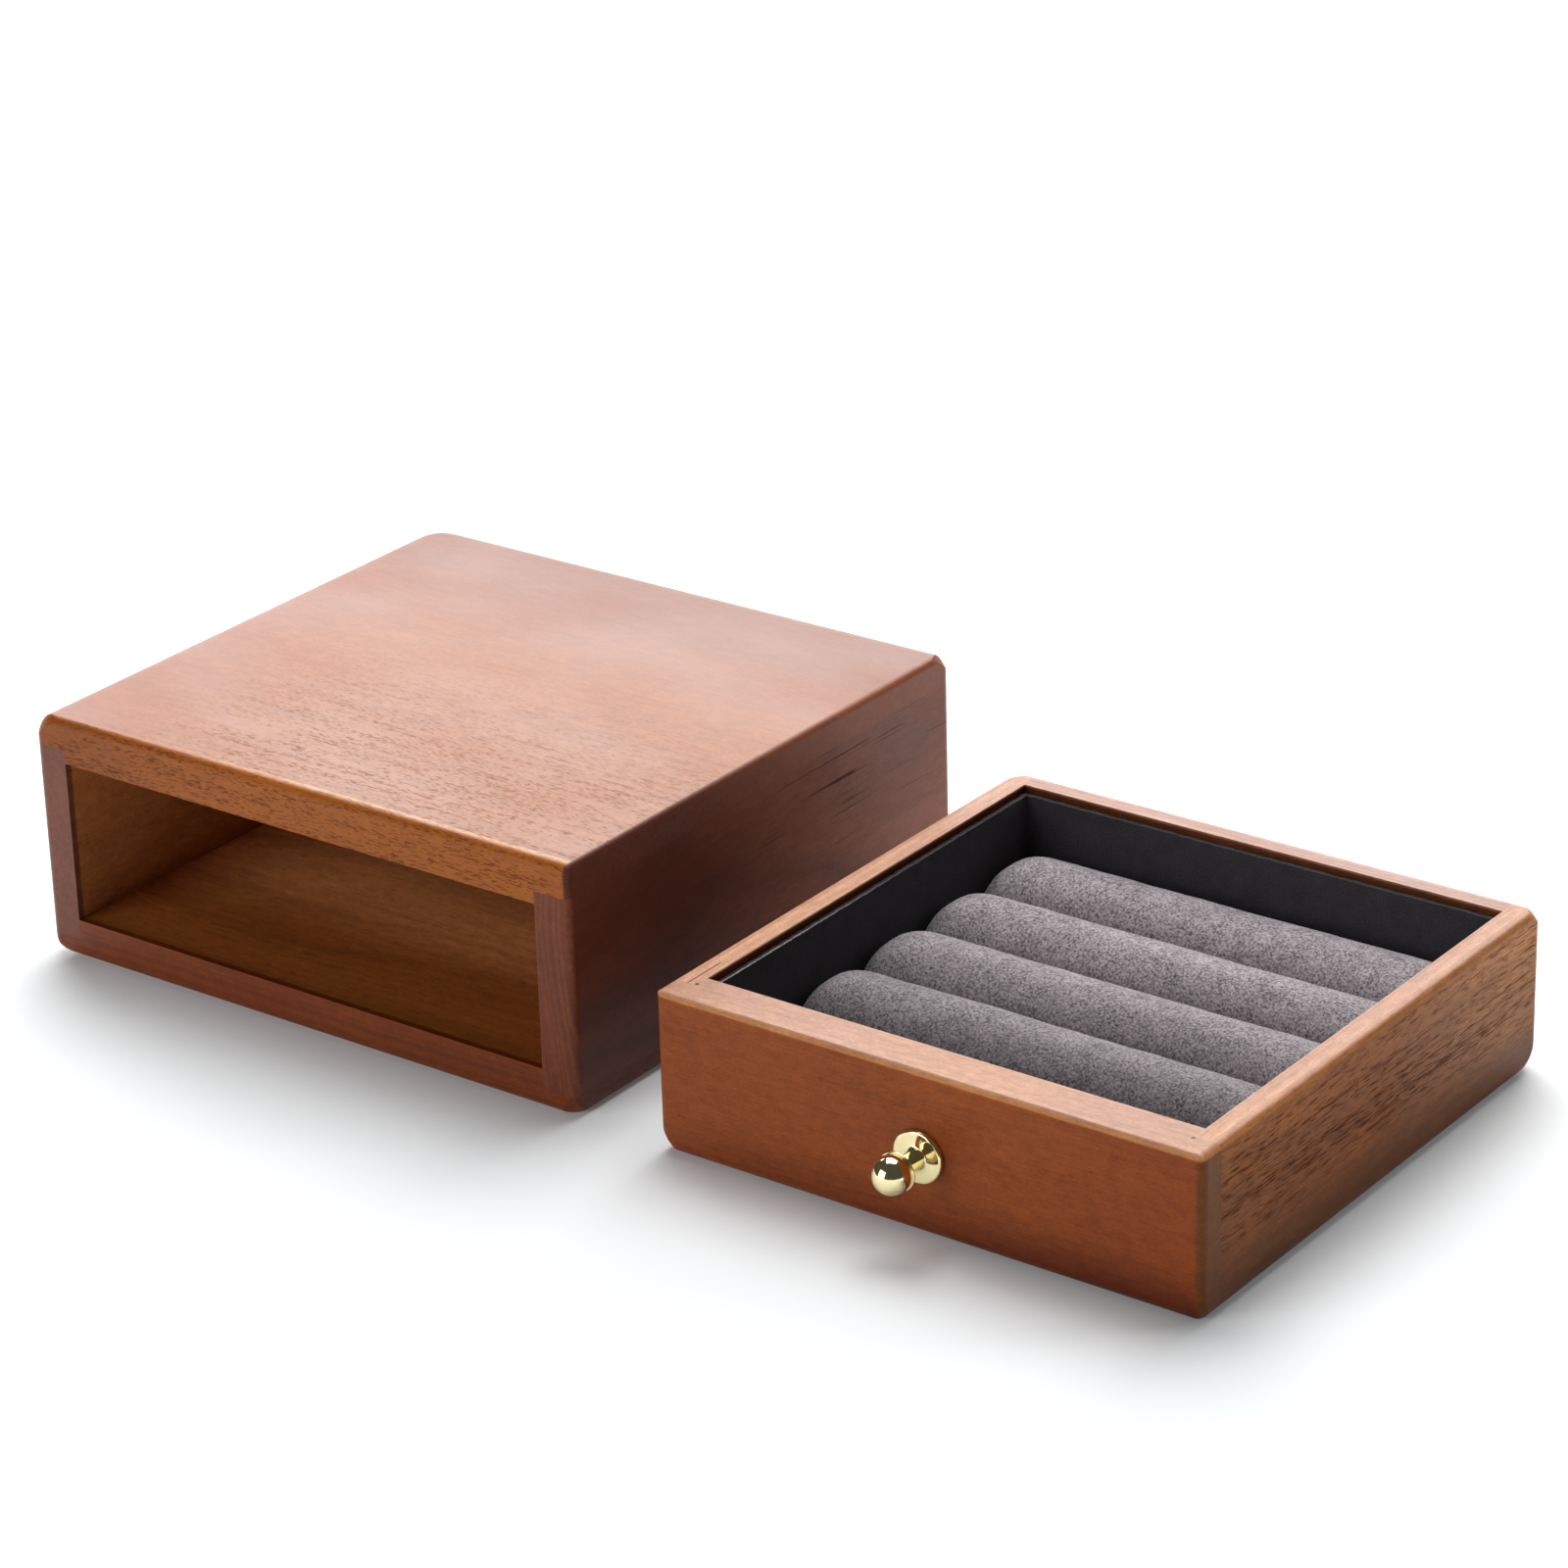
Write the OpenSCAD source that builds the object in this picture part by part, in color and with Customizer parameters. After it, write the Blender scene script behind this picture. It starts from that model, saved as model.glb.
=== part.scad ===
// Ring box: a wooden case, open at the front, and its drawer with padded ring rolls.
// Millimetres. Origin at the centre of the case's underside, front towards -Y, +Z up.
// The drawer stands beside the case, as it does when it has been taken out.

/* [Case] */
// Width of the case
case_width = 150; // [120:1:200]
// Depth of the case, front to back
case_depth = 138; // [110:1:180]
// Height of the case
case_height = 58; // [50:1:80]
// Thickness of the two side walls
wall_thickness = 9; // [8:0.5:11]
// Thickness of the top board
top_thickness = 10.3; // [8.5:0.1:12]
// Thickness of the bottom board
bottom_thickness = 9.8; // [8:0.1:12]
// Thickness of the back panel, set in between the other boards
back_thickness = 5; // [4:0.5:7]
// How far a side wall goes up into the rabbet of the top board
top_rabbet = 3; // [2:0.5:4]
// How far a side wall goes down into the rabbet of the bottom board
bottom_rabbet = 4.8; // [3:0.1:5]

/* [Rounded edges of the case] */
// Long edge at the top left
case_top_left = 5.5; // [2:0.5:6]
// Long edge at the top right
case_top_right = 1.6; // [1:0.1:4]
// Long edge at the bottom left
case_bottom_left = 8; // [4:0.5:8.5]
// Long edge at the bottom right
case_bottom_right = 3; // [1:0.1:4]
// Top edge at the front
case_front_top = 2; // [1:0.1:3]
// Top edge at the back
case_back_top = 5; // [2:0.5:6]
// Bottom edges at the front and the back
case_face_low = 3; // [1:0.1:3]
// Upright edge at the front left
case_front_left = 2.7; // [1:0.1:4]
// Upright edge at the front right
case_front_right = 2; // [1:0.1:4]
// Upright edge at the back left
case_back_left = 5; // [2:0.5:6]
// Upright edge at the back right
case_back_right = 3; // [1:0.1:4]

/* [Drawer] */
// Gap between the drawer and each side wall
side_gap = 0.4; // [0.2:0.1:0.8]
// Gap between the top of the drawer and the top board
top_gap = 0.95; // [0.4:0.05:1.5]
// Gap under the drawer as it runs on the bottom board
run_gap = 0.05; // [0.02:0.01:0.1]
// Gap between the closed drawer and the back panel
end_gap = 0.4; // [0.2:0.1:1]
// Thickness of the drawer's front board
front_thickness = 10.3; // [9:0.1:12]
// Thickness of the drawer's side boards
side_thickness = 6; // [5:0.5:8]
// Thickness of the drawer's back board
rear_thickness = 6.5; // [6:0.5:8]
// Front board left in front of the ends of the side boards
lap_thickness = 6.5; // [5:0.5:7]
// Thickness of the bottom panel, in rabbets under the four boards
panel_thickness = 3; // [2.5:0.5:4]
// Width of the rabbets that hold the bottom panel
panel_rabbet = 3; // [2:0.5:3]

/* [Rounded edges of the drawer] */
// Lower edge at the left
drawer_left_low = 4.4; // [1:0.1:4.4]
// Lower edge at the right
drawer_right_low = 3.4; // [1:0.1:4.4]
// Lower edges at the front and the back
drawer_face_low = 3.4; // [1:0.1:3.4]
// Rim, at the sides
rim_side = 1.7; // [0.5:0.1:2.5]
// Rim, at the front
rim_front = 0.8; // [0.5:0.1:1.5]
// Rim, at the back
rim_back = 3; // [0.5:0.1:3.5]
// Upright edge at the front left
drawer_front_left = 2.2; // [1:0.1:3]
// Upright edge at the front right
drawer_front_right = 1.8; // [1:0.1:3]
// Upright edge at the back left
drawer_back_left = 5; // [1:0.5:5]
// Upright edge at the back right
drawer_back_right = 3; // [1:0.1:4]

/* [Knob] */
// Height of the knob's axis above the drawer's underside
knob_height = 18.2; // [14:0.1:22]
// Diameter of the flange
flange_diameter = 11.6; // [10:0.1:16]
// Thickness of the flange
flange_thickness = 1.4; // [1:0.1:2]
// Diameter of the neck
neck_diameter = 4.4; // [4:0.1:6]
// Diameter of the collar, where the neck flares into the ball
collar_diameter = 7.2; // [6:0.1:7.6]
// Length of the collar
collar_length = 1.5; // [1:0.1:2]
// Diameter of the ball
ball_diameter = 9; // [8:0.1:12]
// Distance from the front board to the centre of the ball
ball_reach = 9.4; // [7:0.1:11]
// Diameter of the screw that holds the knob
screw_diameter = 3; // [2.5:0.5:3]
// Depth of the screw's hole in the knob
screw_depth = 6; // [4:0.5:7]
// Diameter of the screw's countersunk head
screw_head = 5.6; // [5:0.1:7]

/* [Ring tray] */
// Thickness of the card of the liner
liner_thickness = 1.2; // [1:0.1:2]
// How far the liner's top edge stays below the rim
liner_drop = 1.6; // [0.5:0.1:4]
// Thickness of the card under the rolls
base_thickness = 1.5; // [1:0.1:2]
// Gap between the tray and the drawer's boards
tray_gap = 0.3; // [0.1:0.1:0.6]
// Height of the rolls' crowns above the drawer's underside
crown_height = 26.4; // [22:0.1:30]
// Gap between two rolls
roll_gap = 0.3; // [0.2:0.1:1]
// Thickness of the suede cover of a roll
cover_thickness = 0.8; // [0.5:0.1:1.2]
// Rounding of a roll's lower edges
roll_low_round = 4; // [2:0.5:6]
// Rounding of a roll's ends
roll_end_round = 4; // [2:0.5:6]

/* [Place of the drawer] */
// Distance to the right of the closed place, centre to centre
rest_across = 162.8; // [160:0.1:220]
// Distance of the drawer's front in front of the case's front
rest_forward = 1; // [0:0.5:5]
// How far the drawer is drawn out of the case before it is put aside
draw_length = 150.4; // [145:0.1:170]

/* [Brads] */
// Diameter of a brad
brad_diameter = 1.2; // [1:0.1:1.6]
// Diameter of a brad's head
brad_head = 1.8; // [1.4:0.1:2.2]
// Thickness of a brad's head
brad_head_thickness = 0.8; // [0.5:0.1:1]
// How far a brad's head is sunk below the face that it is driven into
brad_sink = 0.6; // [0.2:0.1:1]
// Radial gap round a brad
brad_gap = 0.05; // [0.02:0.01:0.1]
// Length of a brad in the case
case_brad_length = 16; // [12:1:20]
// Length of a brad in the drawer
drawer_brad_length = 11; // [8:1:14]
// Distance from the front of the case to its first brad
brad_margin = 18; // [12:1:24]

/* [Hidden] */
$fn = 48;
half_width = case_width / 2;
half_depth = case_depth / 2;
mouth_width = case_width - 2 * wall_thickness;
mouth_height = case_height - top_thickness - bottom_thickness;
wall_low = bottom_thickness - bottom_rabbet;
wall_high = case_height - top_thickness + top_rabbet;

drawer_width = mouth_width - 2 * side_gap;
drawer_height = mouth_height - top_gap - run_gap;
drawer_depth = case_depth - back_thickness - end_gap;
half_drawer = drawer_width / 2;
well_half = half_drawer - side_thickness;
well_back = drawer_depth - rear_thickness;
// The panel lies a little above the table, with a little play in its rabbets
panel_low = 0.2;
panel_play = 0.1;
panel_high = panel_low + panel_thickness;
lift = bottom_thickness + run_gap;

tray_half = well_half - tray_gap;
tray_front = front_thickness + tray_gap;
tray_back = well_back - tray_gap;
base_high = panel_high + base_thickness;
liner_high = drawer_height - liner_drop;
roll_half = tray_half - liner_thickness - tray_gap / 2;
roll_count = 5;
roll_start = tray_front + liner_thickness;
roll_pitch = (tray_back - liner_thickness - roll_start) / roll_count;
roll_side = (roll_pitch - roll_gap) / 2;
// A roll's crown is round, apart from a narrow flat
crown_flat = 0.2;
crown_round = min(roll_side, (crown_height - base_high) / 2) - crown_flat;

// The drawer's way out and round: it is drawn out, then carried in half a turn about an axis
// that leans a little, so that it comes down from the case's floor to the table.
carry_tilt = atan(lift / rest_across);
wall_brad_x = half_width - wall_thickness * 2 / 3;
rear_brad_x = wall_brad_x - rest_across / 2;
rear_brad_y = well_back + panel_rabbet / 2;
rear_brad_pitch = -2 * rear_brad_x;
carry_y = -half_depth + rear_brad_y - (rest_forward + draw_length) / 2;
brad_pitch = carry_y + half_depth - brad_margin;
side_brad_x = well_half + panel_rabbet / 2;
side_brad_start = front_thickness + brad_margin / 2;
side_brad_pitch = (well_back - front_thickness - brad_margin) / 3;

// Radii of the balls that soften the corners, and how far they stay off the edges
small_ball = 8;
middle_ball = 10;
large_ball = 14;
ball_clearance = 0.1;

// The knob's screw: the straight rim of its head, and the play round it in the front board
screw_rim = 0.5;
screw_play = 0.1;

// Shapes that several pieces share

// A rectangle from low to high with round corners: low left, low right, high right, high left
module soft_rectangle(low, high, radii) {
    corners = [low, [high[0], low[1]], high, [low[0], high[1]]];
    inward = [[1, 1], [-1, 1], [-1, -1], [1, -1]];
    polygon([for (i = [0:3]) each [
        corners[i] + radii[i] * (i % 2 == 0 ? [0, inward[i][1]] : [inward[i][0], 0]),
        corners[i] + radii[i] * (i % 2 == 0 ? [inward[i][0], 0] : [0, inward[i][1]])]]);
    for (i = [0:3]) translate(corners[i] + radii[i] * inward[i]) circle(radii[i]);
}

// An outline in X and Z, drawn out along Y from one place to another
module along_depth(from, to) {
    translate([0, to, 0]) rotate([90, 0, 0]) linear_extrude(to - from) children();
}

// An outline in Y and Z, drawn out along X on both sides of the middle
module along_width(half) {
    rotate([90, 0, 90]) translate([0, 0, -half]) linear_extrude(2 * half) children();
}

// A block given by its lowest and highest corners
module block(low, high) {
    translate(low) cube(high - low);
}

// What a ball takes off a corner where three rounded edges meet. The ball is set inward so far
// that it just clears the edges, the least of whose roundings is given.
module corner_cut(corner, inward, ball, least) {
    inset = ball - (ball - least + ball_clearance) * (1 - sqrt(0.5));
    middle = corner + inset * inward;
    outer = corner - inward;
    difference() {
        block([for (i = [0:2]) min(middle[i], outer[i])], [for (i = [0:2]) max(middle[i], outer[i])]);
        translate(middle) sphere(ball);
    }
}

// The whole outside of the case, with every edge rounded
module case_outside() {
    left = -half_width;
    right = half_width;
    front = -half_depth;
    back = half_depth;
    top = case_height;
    difference() {
        intersection() {
            along_depth(front, back)
                soft_rectangle([left, 0], [right, top],
                    [case_bottom_left, case_bottom_right, case_top_right, case_top_left]);
            along_width(half_width)
                soft_rectangle([front, 0], [back, top],
                    [case_face_low, case_face_low, case_back_top, case_front_top]);
            linear_extrude(top)
                soft_rectangle([left, front], [right, back],
                    [case_front_left, case_front_right, case_back_right, case_back_left]);
        }
        corner_cut([left, front, top], [1, 1, -1], middle_ball,
            min(case_top_left, case_front_top, case_front_left));
        corner_cut([left, back, top], [1, -1, -1], large_ball,
            min(case_top_left, case_back_top, case_back_left));
        corner_cut([right, back, top], [-1, -1, -1], middle_ball,
            min(case_top_right, case_back_top, case_back_right));
        corner_cut([right, front, 0], [-1, 1, 1], middle_ball,
            min(case_bottom_right, case_face_low, case_front_right));
        corner_cut([right, back, 0], [-1, -1, 1], middle_ball,
            min(case_bottom_right, case_face_low, case_back_right));
        corner_cut([left, back, 0], [1, -1, 1], middle_ball,
            min(case_bottom_left, case_face_low, case_back_left));
    }
}

// The whole outside of the drawer: X from its middle, Y from its front, Z from its underside
module drawer_outside() {
    left = -half_drawer;
    right = half_drawer;
    back = drawer_depth;
    top = drawer_height;
    difference() {
        intersection() {
            along_depth(0, back)
                soft_rectangle([left, 0], [right, top],
                    [drawer_left_low, drawer_right_low, rim_side, rim_side]);
            along_width(half_drawer)
                soft_rectangle([0, 0], [back, top],
                    [drawer_face_low, drawer_face_low, rim_back, rim_front]);
            linear_extrude(top)
                soft_rectangle([left, 0], [right, back],
                    [drawer_front_left, drawer_front_right, drawer_back_right, drawer_back_left]);
        }
        corner_cut([left, back, top], [1, -1, -1], middle_ball,
            min(rim_side, rim_back, drawer_back_left));
        corner_cut([right, back, top], [-1, -1, -1], small_ball,
            min(rim_side, rim_back, drawer_back_right));
        corner_cut([left, 0, 0], [1, 1, 1], small_ball,
            min(drawer_left_low, drawer_face_low, drawer_front_left));
        corner_cut([right, 0, 0], [-1, 1, 1], small_ball,
            min(drawer_right_low, drawer_face_low, drawer_front_right));
        corner_cut([right, back, 0], [-1, -1, 1], middle_ball,
            min(drawer_right_low, drawer_face_low, drawer_back_right));
        corner_cut([left, back, 0], [1, -1, 1], middle_ball,
            min(drawer_left_low, drawer_face_low, drawer_back_left));
    }
}

// Puts a piece of the drawer where the drawer stands, beside the case
module beside_case() {
    translate([rest_across, -half_depth - rest_forward, 0]) children();
}

// A brad driven up from below, with its head at the height low; grow makes the hole for it
module brad(length, low, grow) {
    rotate([0, carry_tilt, 0]) translate([0, 0, low]) {
        cylinder(r = brad_diameter / 2 + grow, h = length + grow);
        translate([0, 0, -grow]) cylinder(r = brad_head / 2 + grow, h = brad_head_thickness + 2 * grow);
    }
}

// Case

// The brads that go up through the bottom board into the two side walls
module case_brad_set(grow) {
    for (side = [-1, 1]) for (i = [0:3])
        if (side < 0 || i != 1)
            translate([side * wall_brad_x, -half_depth + brad_margin + i * brad_pitch, 0])
                brad(case_brad_length, brad_sink, grow);
}

// The brad in the right wall that marks the axis on which the drawer is carried round
module wall_brad_shape(grow) {
    axis_z = panel_high + lift / 2;
    translate([wall_brad_x, carry_y, axis_z]) brad(case_brad_length, brad_sink - axis_z, grow);
}

module case_brad_holes() {
    case_brad_set(brad_gap);
    wall_brad_shape(brad_gap);
}

module case_top() {
    color([0.80, 0.58, 0.46]) intersection() {
        case_outside();
        difference() {
            block([-half_width, -half_depth, case_height - top_thickness],
                [half_width, half_depth, case_height]);
            for (side = [-1, 1])
                block([side * half_width - (side > 0 ? wall_thickness : 0), -half_depth - 1, 0],
                    [side * half_width + (side < 0 ? wall_thickness : 0), half_depth + 1, wall_high]);
        }
    }
}

module case_bottom() {
    color([0.50, 0.26, 0.16]) difference() {
        intersection() {
            case_outside();
            difference() {
                block([-half_width, -half_depth, 0], [half_width, half_depth, bottom_thickness]);
                for (side = [-1, 1])
                    block([side * half_width - (side > 0 ? wall_thickness : 0), -half_depth - 1, wall_low],
                        [side * half_width + (side < 0 ? wall_thickness : 0), half_depth + 1, case_height]);
            }
        }
        case_brad_holes();
    }
}

module case_wall(side) {
    inner = side * (half_width - wall_thickness);
    outer = side * half_width;
    color([0.42, 0.22, 0.16]) difference() {
        intersection() {
            case_outside();
            block([min(inner, outer), -half_depth, wall_low], [max(inner, outer), half_depth, wall_high]);
        }
        case_brad_holes();
    }
}

module case_left_wall() { case_wall(-1); }

module case_right_wall() { case_wall(1); }

module case_back() {
    color([0.42, 0.22, 0.12]) intersection() {
        case_outside();
        block([-mouth_width / 2, half_depth - back_thickness, bottom_thickness],
            [mouth_width / 2, half_depth, case_height - top_thickness]);
    }
}

module case_brads() {
    color("gray") case_brad_set(0);
}

module case_wall_brad() {
    color("gray") wall_brad_shape(0);
}

// Drawer

// The brads that hold the bottom panel to the side boards and the rear board
module drawer_brad_set(grow) {
    for (side = [-1, 1]) for (i = [0:3])
        translate([side * side_brad_x, side_brad_start + i * side_brad_pitch, 0])
            brad(drawer_brad_length, panel_low, grow);
    for (i = [-1:2]) if (i != 0)
        translate([(i - 0.5) * rear_brad_pitch, rear_brad_y, 0]) brad(drawer_brad_length, panel_low, grow);
}

// The brad in the rear board about which the drawer keeps its direction while it is carried
module rear_brad_shape(grow) {
    translate([rear_brad_x, rear_brad_y, panel_high]) brad(drawer_brad_length, panel_low - panel_high, grow);
}

module drawer_brad_holes() {
    drawer_brad_set(brad_gap);
    rear_brad_shape(brad_gap);
}

// The recess under the boards in which the bottom panel lies
module panel_recess() {
    block([-well_half - panel_rabbet, front_thickness - panel_rabbet, -1],
        [well_half + panel_rabbet, well_back + panel_rabbet, panel_high]);
}

module drawer_front() {
    color([0.62, 0.34, 0.22]) beside_case() difference() {
        intersection() {
            drawer_outside();
            union() {
                block([-half_drawer, 0, 0], [half_drawer, lap_thickness, drawer_height]);
                block([-well_half, 0, 0], [well_half, front_thickness, drawer_height]);
            }
        }
        panel_recess();
        knob_screw_shape(screw_play);
    }
}

module drawer_side(side) {
    color([0.60, 0.42, 0.30]) beside_case() difference() {
        intersection() {
            drawer_outside();
            block([side > 0 ? well_half : -half_drawer, lap_thickness, 0],
                [side > 0 ? half_drawer : -well_half, drawer_depth, drawer_height]);
        }
        panel_recess();
        drawer_brad_holes();
    }
}

module drawer_left_side() { drawer_side(-1); }

module drawer_right_side() { drawer_side(1); }

module drawer_rear() {
    color([0.62, 0.40, 0.28]) beside_case() difference() {
        intersection() {
            drawer_outside();
            block([-well_half, well_back, 0], [well_half, drawer_depth, drawer_height]);
        }
        panel_recess();
        drawer_brad_holes();
    }
}

module drawer_panel() {
    edge = panel_rabbet - panel_play;
    color([0.66, 0.48, 0.34]) beside_case() difference() {
        block([-well_half - edge, front_thickness - edge, panel_low],
            [well_half + edge, well_back + edge, panel_high]);
        drawer_brad_holes();
    }
}

module drawer_brads() {
    color("gray") beside_case() drawer_brad_set(0);
}

module drawer_rear_brad() {
    color("gray") beside_case() rear_brad_shape(0);
}

// Knob

// Turns a shape made along Z so that it points out of the front board at the knob's place
module at_knob() {
    translate([0, 0, knob_height]) rotate([90, 0, 0]) children();
}

module knob() {
    collar_reach = ball_reach - sqrt(pow(ball_diameter, 2) - pow(collar_diameter, 2)) / 2;
    color([0.86, 0.68, 0.30]) beside_case() difference() {
        at_knob() {
            cylinder(d = flange_diameter, h = flange_thickness);
            cylinder(d = neck_diameter, h = ball_reach);
            translate([0, 0, collar_reach - collar_length])
                cylinder(d1 = neck_diameter, d2 = collar_diameter, h = collar_length);
            translate([0, 0, ball_reach]) sphere(d = ball_diameter);
        }
        knob_screw_shape(0);
    }
}

// The machine screw from inside the drawer, with its head sunk flush in the front board
module knob_screw_shape(grow) {
    cone_depth = (screw_head - screw_diameter) / 2;
    translate([0, front_thickness, 0]) at_knob() {
        translate([0, 0, -grow]) cylinder(d = screw_head + 2 * grow, h = screw_rim + grow);
        translate([0, 0, screw_rim])
            cylinder(d1 = screw_head + 2 * grow, d2 = screw_diameter + 2 * grow, h = cone_depth);
        cylinder(d = screw_diameter + 2 * grow, h = front_thickness + (grow > 0 ? grow : screw_depth));
    }
}

module knob_screw() {
    color("gray") beside_case() knob_screw_shape(0);
}

// Ring tray

module tray_base() {
    color([0.16, 0.16, 0.17]) beside_case()
        block([-tray_half, tray_front, panel_high], [tray_half, tray_back, base_high]);
}

module liner_front() {
    color([0.13, 0.13, 0.14]) beside_case()
        block([-tray_half, tray_front, base_high], [tray_half, tray_front + liner_thickness, liner_high]);
}

module liner_rear() {
    color([0.13, 0.13, 0.14]) beside_case()
        block([-tray_half, tray_back - liner_thickness, base_high], [tray_half, tray_back, liner_high]);
}

module liner_side(side) {
    low_x = side > 0 ? tray_half - liner_thickness : -tray_half;
    color([0.13, 0.13, 0.14]) beside_case()
        block([low_x, tray_front + liner_thickness, base_high],
            [low_x + liner_thickness, tray_back - liner_thickness, liner_high]);
}

module liner_left() { liner_side(-1); }

module liner_right() { liner_side(1); }

// A ring roll, round above and at its ends; shrink takes the cover's thickness off
module roll_shape(i, shrink) {
    low = base_high + shrink;
    high = crown_height - shrink;
    half = roll_half - shrink;
    side = roll_side - shrink;
    low_round = roll_low_round - shrink;
    crown = crown_round - shrink;
    end_round = roll_end_round - shrink;
    translate([0, roll_start + (i - 0.5) * roll_pitch, 0]) intersection() {
        along_width(half)
            soft_rectangle([-side, low], [side, high], [low_round, low_round, crown, crown]);
        along_depth(-side, side)
            soft_rectangle([-half, low], [half, high], [low_round, low_round, end_round, end_round]);
    }
}

module roll_cover(i) {
    color([0.46, 0.45, 0.46]) beside_case() difference() {
        roll_shape(i, 0);
        roll_shape(i, cover_thickness);
    }
}

module roll_foam(i) {
    color([0.75, 0.74, 0.72]) beside_case() roll_shape(i, cover_thickness);
}

case_top();
case_bottom();
case_left_wall();
case_right_wall();
case_back();
case_brads();
case_wall_brad();
drawer_front();
drawer_left_side();
drawer_right_side();
drawer_rear();
drawer_panel();
drawer_brads();
drawer_rear_brad();
knob();
knob_screw();
tray_base();
liner_front();
liner_rear();
liner_left();
liner_right();
roll_cover(1);  // roll_cover_1
roll_cover(2);  // roll_cover_2
roll_cover(3);  // roll_cover_3
roll_cover(4);  // roll_cover_4
roll_cover(5);  // roll_cover_5
roll_foam(1);  // roll_foam_1
roll_foam(2);  // roll_foam_2
roll_foam(3);  // roll_foam_3
roll_foam(4);  // roll_foam_4
roll_foam(5);  // roll_foam_5
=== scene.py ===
import math

import bmesh
import bpy
from mathutils import Matrix, Vector, noise


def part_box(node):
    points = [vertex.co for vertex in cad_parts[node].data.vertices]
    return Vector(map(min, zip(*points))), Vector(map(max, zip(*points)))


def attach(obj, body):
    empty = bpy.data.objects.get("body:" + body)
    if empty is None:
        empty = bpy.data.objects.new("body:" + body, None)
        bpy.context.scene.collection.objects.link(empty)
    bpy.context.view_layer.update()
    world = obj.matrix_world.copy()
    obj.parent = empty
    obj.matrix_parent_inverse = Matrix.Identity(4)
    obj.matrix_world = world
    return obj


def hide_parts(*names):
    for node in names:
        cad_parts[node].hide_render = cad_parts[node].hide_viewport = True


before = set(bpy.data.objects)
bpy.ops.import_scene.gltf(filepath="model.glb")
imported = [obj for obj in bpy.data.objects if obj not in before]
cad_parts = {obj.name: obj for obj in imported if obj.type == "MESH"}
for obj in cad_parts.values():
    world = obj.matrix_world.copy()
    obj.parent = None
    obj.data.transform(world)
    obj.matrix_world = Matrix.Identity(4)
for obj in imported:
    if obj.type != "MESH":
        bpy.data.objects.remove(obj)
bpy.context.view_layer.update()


# ---------------------------------------------------------------------------------------------
# Camera
# It stands in front and to the right, about 1.1 m away and half a metre above the table, and looks
# down at the case and the drawer through a long lens.
CAMERA_PLACE = (0.6853, -0.8056, 0.4979)
# Its turn to the left, its tilt down and its roll, in radians
CAMERA_YAW = 0.645
CAMERA_PITCH = 0.4163
CAMERA_ROLL = -0.0289
# Lens and sensor in millimetres, and the nearest thing it sees in metres
CAMERA_LENS = 118.6
SENSOR_WIDTH = 36.0
NEAREST = 0.01


def link(name, data):
    """A new object in the scene, for a camera, a light or a mesh."""
    made = bpy.data.objects.new(name, data)
    bpy.context.collection.objects.link(made)
    return made


camera = link("camera", bpy.data.cameras.new("camera"))
camera.data.lens = CAMERA_LENS
camera.data.sensor_width = SENSOR_WIDTH
camera.data.clip_start = NEAREST
camera.matrix_world = (
    Matrix.Translation(CAMERA_PLACE)
    @ Matrix.Rotation(CAMERA_YAW, 4, "Z")
    @ Matrix.Rotation(math.pi / 2 - CAMERA_PITCH, 4, "X")
    @ Matrix.Rotation(CAMERA_ROLL, 4, "Z")
)
bpy.context.scene.camera = camera
bpy.context.scene.view_settings.view_transform = "Standard"


# ---------------------------------------------------------------------------------------------
# Studio
# A table of white paper, lit by a soft box above and behind the object and by a wide screen further
# back, so the tops are bright and the shadows fall to the front. A weak fill stands in front, and a
# small light at the back right, which polished surfaces don't show.
OBJECT_MIDDLE = Vector((0.077, -0.004, 0.02))
TABLE_REACH = 6.0
# How far from the middle the table's shadows begin to fade, and where none is left
SHADOWS_FADE, SHADOWS_END = 0.28, 0.45
PAPER_TONE = (0.945, 0.968, 0.98)
# A faint light of its own keeps the shadows on the paper cool and soft
GLOW_TONE, GLOW_STRENGTH = (0.82, 0.95, 1.0), 0.06
WHITE = (1, 1, 1)
OUTER_STRENGTH = 1.1
ROOM_STRENGTH = 0.07


def new_material(name):
    """An empty node material, its tree, and its output node."""
    material = bpy.data.materials.new(name)
    material.use_nodes = True
    material.node_tree.nodes.clear()
    output = material.node_tree.nodes.new("ShaderNodeOutputMaterial")
    return material, material.node_tree, output


def node(tree, kind, sockets=None, **settings):
    """A new shader node.

    sockets gives an input's name or number, and its value or the other node's output it takes.
    """
    made = tree.nodes.new(kind)
    for name, value in settings.items():
        setattr(made, name, value)
    for socket, value in (sockets or {}).items():
        if isinstance(value, bpy.types.NodeSocket):
            tree.links.new(value, made.inputs[socket])
        else:
            made.inputs[socket].default_value = value
    return made


def remap(tree, value, low, high, at_low=0.0, at_high=1.0, interpolation="LINEAR"):
    """A value from low to high turned into one from at_low to at_high, and held at either end."""
    sockets = {0: value, 1: low, 2: high, 3: at_low, 4: at_high}
    return node(tree, "ShaderNodeMapRange", sockets, interpolation_type=interpolation).outputs[0]


def step(tree, value, low, high):
    """0 at low and 1 at high, with a smooth change between them; low may be the larger."""
    return remap(tree, value, low, high, interpolation="SMOOTHSTEP")


def shine(tree, kind, colour, strength):
    """A surface or a background that gives light of its own."""
    return node(tree, kind, {"Color": (*colour, 1), "Strength": strength}).outputs[0]


def mix_shaders(tree, share, first, second):
    """The first shader where share is 0, and the second where it is 1."""
    return node(tree, "ShaderNodeMixShader", {0: share, 1: first, 2: second}).outputs[0]


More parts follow.
